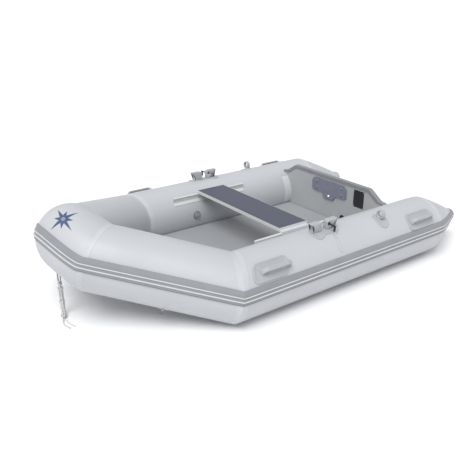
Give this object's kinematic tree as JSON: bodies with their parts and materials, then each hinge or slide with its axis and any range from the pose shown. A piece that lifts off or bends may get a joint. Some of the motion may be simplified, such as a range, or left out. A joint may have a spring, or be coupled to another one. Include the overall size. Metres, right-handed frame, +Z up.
{
  "type": "inflatable dinghy",
  "caption": "Rigid-transom inflatable dinghy with an upturned bow, stern cones, air floor, sliding bench seat, rubbing strake, rowlocks, carrying handles and bow tow ring.",
  "frame": {"origin": "on the ground under the middle of the hull's length and beam, the free cord left out", "axes": "+X towards the bow, +Y to port, +Z up"},
  "size_m": [2.971, 1.6836, 0.6637],
  "materials": {
    "tube_fabric": "PVC-coated polyester, light grey, satin",
    "strake_rubber": "extruded PVC rubbing strake, mid grey with pale ribs",
    "floor_fabric": "drop-stitch air floor, embossed anti-slip PVC",
    "bottom_fabric": "PVC-coated polyester, grey, satin",
    "transom_coat": "marine plywood, grey-white gelcoat",
    "transom_trim": "grey edge extrusion, satin",
    "motor_pad": "moulded blue-grey pad, matt",
    "stainless": "stainless steel, polished",
    "plate_black": "blank black plate",
    "seat_paint": "plywood seat, dark blue-grey paint, satin",
    "pale_trim": "pale grey flexible PVC",
    "channel_aluminium": "extruded, satin anodised",
    "fitting_rubber": "moulded PVC fitting, grey, satin",
    "black_plastic": "black nylon",
    "valve_plastic": "moulded grey valve plastic",
    "white_rope": "white braided cord"
  },
  "bodies": {
    "hull": {"air_floor": "floor_fabric", "bottom_skin": "bottom_fabric", "bow_nose": "tube_fabric", "bow_quarter_port": "tube_fabric", "bow_quarter_starboard": "tube_fabric", "bow_skin": "bottom_fabric", "capacity_plate": "plate_black", "drain_flange": "black_plastic", "dring_patches": "fitting_rubber", "handle_aft_port": "fitting_rubber", "handle_aft_starboard": "fitting_rubber", "handle_fore_port": "fitting_rubber", "handle_fore_starboard": "fitting_rubber", "keel_tube": "bottom_fabric", "motor_pad_bolts": "stainless", "motor_pad_inner": "motor_pad", "motor_pad_outer": "motor_pad", "oar_clip_port": "fitting_rubber", "oar_clip_starboard": "fitting_rubber", "rowlock_base_port": "fitting_rubber", "rowlock_base_starboard": "fitting_rubber", "seat_rail_port": "pale_trim", "seat_rail_starboard": "pale_trim", "side_tube_port": "tube_fabric", "side_tube_starboard": "tube_fabric", "stern_cone_port": "tube_fabric", "stern_cone_starboard": "tube_fabric", "strake_cone_port": "strake_rubber", "strake_cone_starboard": "strake_rubber", "strake_nose": "strake_rubber", "strake_quarter_port": "strake_rubber", "strake_quarter_starboard": "strake_rubber", "strake_side_port": "strake_rubber", "strake_side_starboard": "strake_rubber", "tow_patch": "fitting_rubber", "transom_board": "transom_coat", "transom_flaps": "tube_fabric", "transom_trim": "transom_trim", "tube_bulkheads": "tube_fabric", "valve_body_port": "valve_plastic", "valve_body_starboard": "valve_plastic"},
    "seat": {"seat_board": "seat_paint", "seat_edging": "pale_trim", "seat_channels": "channel_aluminium", "seat_screws": "stainless"},
    "bung": {"drain_plug": "black_plastic"},
    "oar_pin_port": {"rowlock_pin_port": "black_plastic", "lanyard_port": "white_rope"},
    "oar_pin_starboard": {"rowlock_pin_starboard": "black_plastic", "lanyard_starboard": "white_rope"},
    "cap_port": {"valve_cap_port": "valve_plastic"},
    "cap_starboard": {"valve_cap_starboard": "valve_plastic"},
    "plunger_port": {"valve_plunger_port": "valve_plastic"},
    "plunger_starboard": {"valve_plunger_starboard": "valve_plastic"},
    "bow_ring": {"tow_ring": "stainless", "painter_hank": "white_rope", "painter_tail": "white_rope", "tie_tail": "white_rope"},
    "lift_ring_port": {"dring_port": "stainless"},
    "lift_ring_starboard": {"dring_starboard": "stainless"}
  },
  "joints": [
    {"name": "seat_slide", "type": "slide", "parent": "hull", "child": "seat", "axis": [1, 0, 0], "range_m": [-0.19, 0.2]},
    {"name": "drain_bung_pull", "type": "slide", "parent": "hull", "child": "bung", "axis": [1, 0, 0], "range_m": [0, 0.04]},
    {"name": "oar_pin_port_slide", "type": "slide", "parent": "hull", "child": "oar_pin_port", "axis": [0, 0.9945, -0.1045], "range_m": [0, 0.05]},
    {"name": "oar_pin_starboard_slide", "type": "slide", "parent": "hull", "child": "oar_pin_starboard", "axis": [0, -0.9945, -0.1045], "range_m": [0, 0.05]},
    {"name": "valve_cap_port_turn", "type": "hinge", "parent": "hull", "child": "cap_port", "pos_m": [0.15047, 0.43049, 0.21395], "axis": [0, -0.9976, 0.0698], "range_deg": [-90, 0]},
    {"name": "valve_cap_starboard_turn", "type": "hinge", "parent": "hull", "child": "cap_starboard", "pos_m": [0.15047, -0.43049, 0.21395], "axis": [0, 0.9976, 0.0698], "range_deg": [-90, 0]},
    {"name": "valve_plunger_port_push", "type": "slide", "parent": "hull", "child": "plunger_port", "axis": [0, 0.9976, -0.0698], "range_m": [0, 0.004], "stiffness_N_per_m": 300},
    {"name": "valve_plunger_starboard_push", "type": "slide", "parent": "hull", "child": "plunger_starboard", "axis": [0, -0.9976, -0.0698], "range_m": [0, 0.004], "stiffness_N_per_m": 300},
    {"name": "tow_ring_swing", "type": "hinge", "parent": "hull", "child": "bow_ring", "pos_m": [1.36821, 0, 0.26744], "axis": [0, 1, 0], "range_deg": [-35, 35]},
    {"name": "lift_ring_port_swing", "type": "hinge", "parent": "hull", "child": "lift_ring_port", "pos_m": [0.98797, 0.50583, 0.1286], "axis": [0.7713, -0.5899, 0.2388], "range_deg": [-35, 90]},
    {"name": "lift_ring_starboard_swing", "type": "hinge", "parent": "hull", "child": "lift_ring_starboard", "pos_m": [0.98797, -0.50583, 0.1286], "axis": [-0.7713, -0.5899, -0.2388], "range_deg": [-35, 90]}
  ]
}
